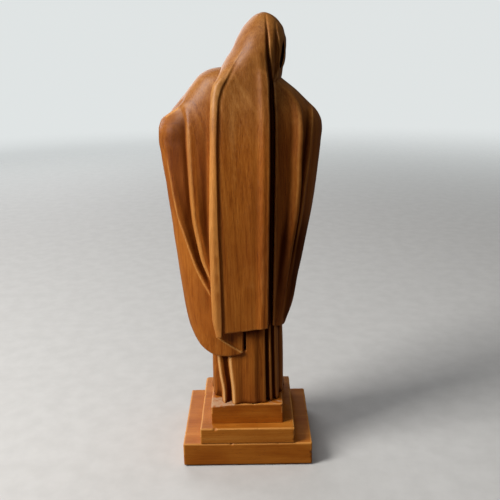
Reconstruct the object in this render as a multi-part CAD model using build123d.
from build123d import *
import math
import os

# Carved wooden madonna statuette on a three-tier stepped plinth.
# Millimetres. Z up. The figure faces -Y, so its own left hand side is +X.
# The origin is the centre of the plinth's underside, on the surface it stands on.
#
# The figure is built up as a carver builds a wide figure on a narrow blank: a centre
# block (gown and torso), a wing block each side for the mantle, a back board with the
# hood for the veil, and a head and joined hands that are let in on dowels. Every joint
# is glued and pegged. The plinth is three boards glued together and screwed from below.

# ---------------------------------------------------------------- driving sizes
TOTAL_H = 400.0

PAD_T = 1.2            # baize under the plinth
PAD_INSET = 4.0
T1_W, T1_D, T1_H = 118.5, 105.0, 22.1    # bottom tier, from the top of the baize
T2_W, T2_D, T2_H = 86.3, 103.2, 15.6     # middle tier
T2_Y = 0.9             # set back, flush with the bottom tier behind
T3_W, T3_D, T3_H = 66.0, 85.6, 19.7      # top tier
EDGE = 0.9             # softened arrises
Z1 = PAD_T + T1_H
Z2 = Z1 + T2_H
Z3 = Z2 + T3_H         # the gown stands here

DOWEL_R = 4.0          # figure to plinth
PEG_R = 3.0            # wing and veil pegs
SCREW_R = 2.0
SCREW_HEAD_R = 4.1
SPLIT_X = 1.5          # seam between the wing blocks, under the veil


def outline(z, xl, xr, yb, yf, n=2.4, nf=None, m=28):
    """One level section: xl is the +X side, xr the -X side, yb the back, yf the front."""
    nf = nf or n
    xc, a = (xl + xr) / 2, (xl - xr) / 2
    yc = yb * 0.45 + yf * 0.55
    pts = []
    for i in range(m):
        t = 2 * math.pi * i / m
        c, s = math.cos(t), math.sin(t)
        k = n if s >= 0 else nf
        b = (yb - yc) if s >= 0 else (yc - yf)
        r = (abs(c) ** k + abs(s) ** k) ** (-1 / k)
        pts.append(Vector(xc + a * r * c, yc + b * r * s, z))
    return pts


def level(pts):
    return Face(Wire([Edge.make_spline(pts, periodic=True)]))


def loft_levels(rows):
    return Solid.make_loft([level(p).outer_wire() for p in rows])


def cyl(p, d, r, length):
    pl = Plane(origin=p, z_dir=d)
    return pl * Cylinder(r, length, align=(Align.CENTER, Align.CENTER, Align.MIN))


def one(shape):
    """The largest solid of a cut, without slivers."""
    s = sorted(shape.solids(), key=lambda q: q.volume)
    return s[-1]


# ---------------------------------------------------------------- gown (centre block)
# z, +X side, -X side, back, front
GOWN = [
    (Z3, 32.6, -34.6, 42.2, -33.5),
    (75.0, 32.2, -34.4, 42.2, -31.5),
    (100.0, 31.8, -34.2, 42.0, -29.5),
    (130.0, 31.2, -33.8, 41.0, -28.2),
    (170.0, 29.5, -31.5, 38.5, -27.5),
    (215.0, 27.0, -28.0, 35.5, -27.0),
    (255.0, 26.0, -26.5, 33.0, -26.5),
    (290.0, 28.0, -28.0, 30.0, -28.5),
    (312.0, 27.0, -28.0, 27.0, -27.0),
    (330.0, 21.0, -26.0, 22.0, -21.0),
    (341.0, 10.0, -22.0, 15.0, -15.0),
]
gown = loft_levels([outline(*r, n=2.5, nf=2.2) for r in GOWN])

# shoe tips under the hem
for sx in (13.0, -14.5):
    shoe = Pos(sx, -30.5, Z3) * Sphere(1).scale(1)
    toe = Solid.make_sphere(1.0)
    toe = toe.transform_geometry(Matrix([[7.5, 0, 0, sx], [0, 9.5, 0, -30.0], [0, 0, 6.0, Z3 + 0.3], [0, 0, 0, 1]]))
    toe = toe & (Pos(sx, -30, Z3 + 10) * Box(40, 40, 20))
    gown = gown + toe
gown = one(gown)

# ---------------------------------------------------------------- mantle, as one form
MANTLE = [
    (106.5, 42.0, -32.0, 44.0, -20.0),
    (113.0, 47.5, -34.5, 44.4, -27.0),
    (125.0, 51.5, -36.2, 44.4, -31.0),
    (142.0, 55.2, -40.6, 44.2, -33.0),
    (160.0, 57.5, -45.4, 43.8, -34.0),
    (195.0, 61.5, -53.5, 42.6, -35.0),
    (230.0, 65.4, -60.6, 41.0, -36.5),
    (262.0, 69.1, -65.2, 39.0, -38.5),
    (286.0, 72.3, -67.9, 37.0, -40.5),
    (303.0, 73.2, -69.5, 35.2, -40.0),
    (316.0, 67.5, -66.2, 33.2, -35.0),
    (326.0, 58.0, -57.6, 31.0, -29.0),
    (336.0, 47.4, -47.6, 29.0, -23.0),
    (345.0, 40.0, -36.5, 27.0, -18.0),
    (352.0, 31.0, -27.0, 24.0, -13.0),
]
mantle = loft_levels([outline(*r, n=2.5, nf=2.1) for r in MANTLE])

# open front: the cloth hangs clear of the gown between these two edges
OPEN = [
    (96.0, 27.0, -27.0),
    (200.0, 22.0, -22.5),
    (286.0, 16.0, -17.0),
    (330.0, 13.0, -22.0),
    (356.0, 12.0, -32.0),
]


def open_face(z, xl, xr):
    return [Vector(xl, -90, z), Vector(xr, -90, z), Vector(xr + 3, -16, z), Vector(xl - 3, -16, z)]


opening = Solid.make_loft([Wire.make_polygon(open_face(*r), close=True) for r in OPEN], ruled=True)

# ---------------------------------------------------------------- veil: back board and hood
PANEL = [
    (127.0, 26.2, -20.2, 48.6),
    (150.0, 29.0, -21.8, 48.4),
    (185.0, 29.4, -22.6, 47.4),
    (225.0, 29.2, -23.4, 45.8),
    (262.0, 28.0, -24.3, 43.8),
    (295.0, 26.8, -25.1, 41.2),
    (322.0, 25.8, -25.1, 37.6),
    (342.0, 22.6, -24.6, 33.6),
    (354.0, 16.6, -23.6, 31.0),
    (366.0, 7.6, -22.4, 28.4),
    (376.0, 0.6, -21.8, 24.6),
]


def panel_face(z, xl, xr, yb):
    xm = (xl + xr) / 2
    return [
        Vector(xl, yb - 16, z), Vector(xl, yb - 1.6, z), Vector(xl - 2.0, yb, z),
        Vector(xm, yb + 0.5, z),
        Vector(xr + 2.0, yb, z), Vector(xr, yb - 1.6, z), Vector(xr, yb - 16, z),
    ]


panel = Solid.make_loft([Wire.make_polygon(panel_face(*r), close=True) for r in PANEL])

HOOD = [
    (341.0, 21.0, -31.5, 30.0, -12.0),
    (350.0, 18.5, -34.0, 29.5, -17.5),
    (358.0, 14.8, -36.6, 29.0, -21.0),
    (366.0, 9.4, -37.8, 28.2, -22.8),
    (374.0, 5.2, -38.4, 26.8, -23.2),
    (382.0, 1.4, -37.4, 24.0, -21.6),
    (389.0, -2.8, -35.2, 19.6, -18.0),
    (395.0, -7.6, -30.6, 13.4, -12.4),
    (398.6, -13.6, -24.8, 6.8, -6.6),
]
hood = loft_levels([outline(*r, n=2.2) for r in HOOD])
crown = Pos(-19.2, 0.2, 396.2) * Sphere(3.8)
veil = panel + hood + crown

HEAD_C = Vector(-18.0, -3.5, 369.0)

# the hollow of the hood, open at the front
cavity = Solid.make_sphere(1.0).transform_geometry(
    Matrix([[16.6, 0, 0, HEAD_C.X], [0, 20.5, 0, HEAD_C.Y - 0.5], [0, 0, 24.0, HEAD_C.Z - 3.0], [0, 0, 0, 1]]))
mouth = loft_levels([
    [Vector(HEAD_C.X + 14.0 * math.cos(t) * s, -34.0 + d, HEAD_C.Z - 3.0 + 22.0 * math.sin(t) * s)
     for t in [2 * math.pi * i / 20 for i in range(20)]]
    for d, s in ((0.0, 1.15), (14.0, 1.0), (28.0, 0.9))])
throat = loft_levels([outline(338.0, -2.0, -30.0, 6.0, -22.0), outline(356.0, -3.5, -31.5, 8.0, -24.0)])
veil = veil - cavity - mouth - throat

# ---------------------------------------------------------------- head
skull = Solid.make_sphere(1.0).transform_geometry(
    Matrix([[14.0, 0, 0, HEAD_C.X], [0, 17.0, 0, HEAD_C.Y], [0, 0, 20.0, HEAD_C.Z], [0, 0, 0, 1]]))
nose = Solid.make_cone(2.9, 0.9, 9.5).locate(Location((HEAD_C.X - 1.0, HEAD_C.Y - 16.2, HEAD_C.Z - 4.8)))
neck = cyl(Vector(-13.0, -2.0, 338.0), Vector(-0.12, -0.02, 1.0), 8.6, 18.0)
head = skull + nose + neck

# ---------------------------------------------------------------- sleeves and hands
SLEEVE_R = 11.0


def taper(p, q, r0, r1):
    d = q - p
    return Plane(origin=p, z_dir=d) * Cone(r0, r1, d.length, align=(Align.CENTER, Align.CENTER, Align.MIN))


sleeve_left = taper(Vector(50, -8, 287), Vector(7.5, -38, 303), 13.0, 9.2)
sleeve_right = taper(Vector(-51, -8, 287), Vector(-9.5, -38, 303), 13.0, 9.2)

HANDS = [
    (297.0, 4.6, -6.6, -37.5, -47.5),
    (303.0, 6.0, -8.0, -36.0, -49.5),
    (311.0, 5.6, -7.6, -36.5, -50.8),
    (320.0, 4.6, -6.6, -38.4, -51.2),
    (329.0, 3.4, -5.4, -41.2, -51.6),
    (335.0, 2.0, -4.0, -44.4, -51.4),
]
hands = loft_levels([outline(z, a, b, c, d, n=2.3, m=20) for z, a, b, c, d in HANDS])

# ---------------------------------------------------------------- fitting, one piece into the next
split_hi = Pos(SPLIT_X + 100, 0, 230) * Box(200, 300, 400)
split_lo = Pos(SPLIT_X - 100, 0, 230) * Box(200, 300, 400)

# the right wing's hem is higher than the left's; the left wing's lower corner is turned
# over, which leaves a shallow triangular step below the veil
right_hem = Plane.XZ * Pos(0, 0, -100) * extrude(
    make_face(Polyline((40, 90), (40, 134), (-22, 134), (-40, 128), (-80, 112), (-80, 90), close=True)), 200)
turned_step = Plane.XZ * Pos(0, 0, -60) * extrude(
    make_face(Polyline((27.5, 127.0), (1.0, 109.5), (-1.0, 109.5), (-1.0, 134.0), (27.5, 134.0), close=True)), 19.5)

gown = one(gown - veil - head)
mantle = mantle - gown - veil - opening - head
mantle_left = one((mantle & split_hi) - turned_step)
mantle_right = one((mantle & split_lo) - right_hem)
sleeve_left = one(sleeve_left - mantle_left - gown - hands)
sleeve_right = one(sleeve_right - mantle_right - gown - hands)
hands = one(hands - gown)
veil = one(veil)
head = one(head - veil)

# ---------------------------------------------------------------- plinth
def board(w, d, h, z, y=0.0):
    b = Pos(0, y, z + h / 2) * Box(w, d, h)
    return fillet(b.edges(), EDGE)


tier_1 = board(T1_W, T1_D, T1_H, PAD_T)
tier_2 = board(T2_W, T2_D, T2_H, Z1, T2_Y)
tier_3 = board(T3_W, T3_D, T3_H, Z2)
pad = Pos(0, 0, PAD_T / 2) * Box(T1_W - 2 * PAD_INSET, T1_D - 2 * PAD_INSET, PAD_T)

# two dowels stand in the top two boards and run up into the gown
FIG_PEGS = [(0.0, 22.0), (0.0, -12.0)]
fig_dowels = [Pos(x, y, Z1 + 4.0) * Cylinder(DOWEL_R, Z3 + 26.0 - (Z1 + 4.0), align=(Align.CENTER, Align.CENTER, Align.MIN)) for x, y in FIG_PEGS]

# four countersunk wood screws, up through the bottom and middle boards
SCREWS = [(24.0, 30.0), (-24.0, 30.0), (24.0, -30.0), (-24.0, -30.0)]


def screw(x, y):
    z0 = PAD_T + 4.0
    headp = Pos(x, y, z0) * Cylinder(SCREW_HEAD_R, 0.6, align=(Align.CENTER, Align.CENTER, Align.MIN))
    cone = Pos(x, y, z0 + 0.6) * Cone(SCREW_HEAD_R, SCREW_R, 2.4, align=(Align.CENTER, Align.CENTER, Align.MIN))
    shank = Pos(x, y, z0 + 3.0) * Cylinder(SCREW_R, 41.0, align=(Align.CENTER, Align.CENTER, Align.MIN))
    tip = Pos(x, y, z0 + 44.0) * Cone(SCREW_R, 0.3, 3.5, align=(Align.CENTER, Align.CENTER, Align.MIN))
    slot = Pos(x, y, z0 + 0.5) * Box(1.0, 2 * SCREW_HEAD_R + 1, 1.2)
    return headp + cone + shank + tip - slot


def screw_room(x, y):
    z0 = PAD_T + 4.0
    well = Pos(x, y, PAD_T - 1) * Cylinder(SCREW_HEAD_R + 0.2, 5.6, align=(Align.CENTER, Align.CENTER, Align.MIN))
    cone = Pos(x, y, z0 + 0.6) * Cone(SCREW_HEAD_R, SCREW_R, 2.4, align=(Align.CENTER, Align.CENTER, Align.MIN))
    shank = Pos(x, y, z0 + 3.0) * Cylinder(SCREW_R, 41.0, align=(Align.CENTER, Align.CENTER, Align.MIN))
    tip = Pos(x, y, z0 + 44.0) * Cone(SCREW_R, 0.3, 3.5, align=(Align.CENTER, Align.CENTER, Align.MIN))
    return well + cone + shank + tip


screws = [screw(x, y) for x, y in SCREWS]
for x, y in SCREWS:
    room = screw_room(x, y)
    tier_1, tier_2, tier_3 = tier_1 - room, tier_2 - room, tier_3 - room
for d in fig_dowels:
    tier_2, tier_3, gown = tier_2 - d, tier_3 - d, gown - d

# ---------------------------------------------------------------- pegs between the carved blocks
WING_PEGS_L = [(20.0, 18.0, 150.0), (18.0, 14.0, 250.0)]
WING_PEGS_R = [(-20.0, 18.0, 150.0), (-18.0, 14.0, 250.0)]
pegs_left = [cyl(Vector(*p), Vector(1, 0, 0), PEG_R, 24.0) for p in WING_PEGS_L]
pegs_right = [cyl(Vector(*p), Vector(-1, 0, 0), PEG_R, 21.0) for p in WING_PEGS_R]
for p in pegs_left:
    gown, mantle_left = gown - p, mantle_left - p
for p in pegs_right:
    gown, mantle_right = gown - p, mantle_right - p

neck_peg = cyl(Vector(-12.6, -2.0, 326.0), Vector(-0.12, -0.02, 1.0), 3.5, 34.0)
gown, head = gown - neck_peg, head - neck_peg
hands_peg = cyl(Vector(-1.0, -20.0, 303.0), Vector(0, -1, 0), 2.0, 24.0)
gown, hands = gown - hands_peg, hands - hands_peg

# ---------------------------------------------------------------- write the nodes
NODES = {
    "gown_block": gown,
    "mantle_left": mantle_left,
    "mantle_right": mantle_right,
    "veil_board": veil,
    "head": head,
    "sleeve_left": sleeve_left,
    "sleeve_right": sleeve_right,
    "joined_hands": hands,
    "plinth_bottom_tier": tier_1,
    "plinth_middle_tier": tier_2,
    "plinth_top_tier": tier_3,
    "baize_pad": pad,
    "figure_dowels": fig_dowels,
    "wing_pegs": pegs_left + pegs_right,
    "neck_peg": neck_peg,
    "hands_peg": hands_peg,
    "plinth_screws": screws,
}
os.makedirs("parts", exist_ok=True)
for name, shape in NODES.items():
    solids = []
    for s in (shape if isinstance(shape, list) else [shape]):
        solids += [q for q in s.solids() if q.volume > 1.0]
    print(name, len(solids), round(sum(q.volume for q in solids) / 1000, 2), "cm3")
    export_step(solids[0] if len(solids) == 1 else Compound(solids), f"parts/{name}.step")
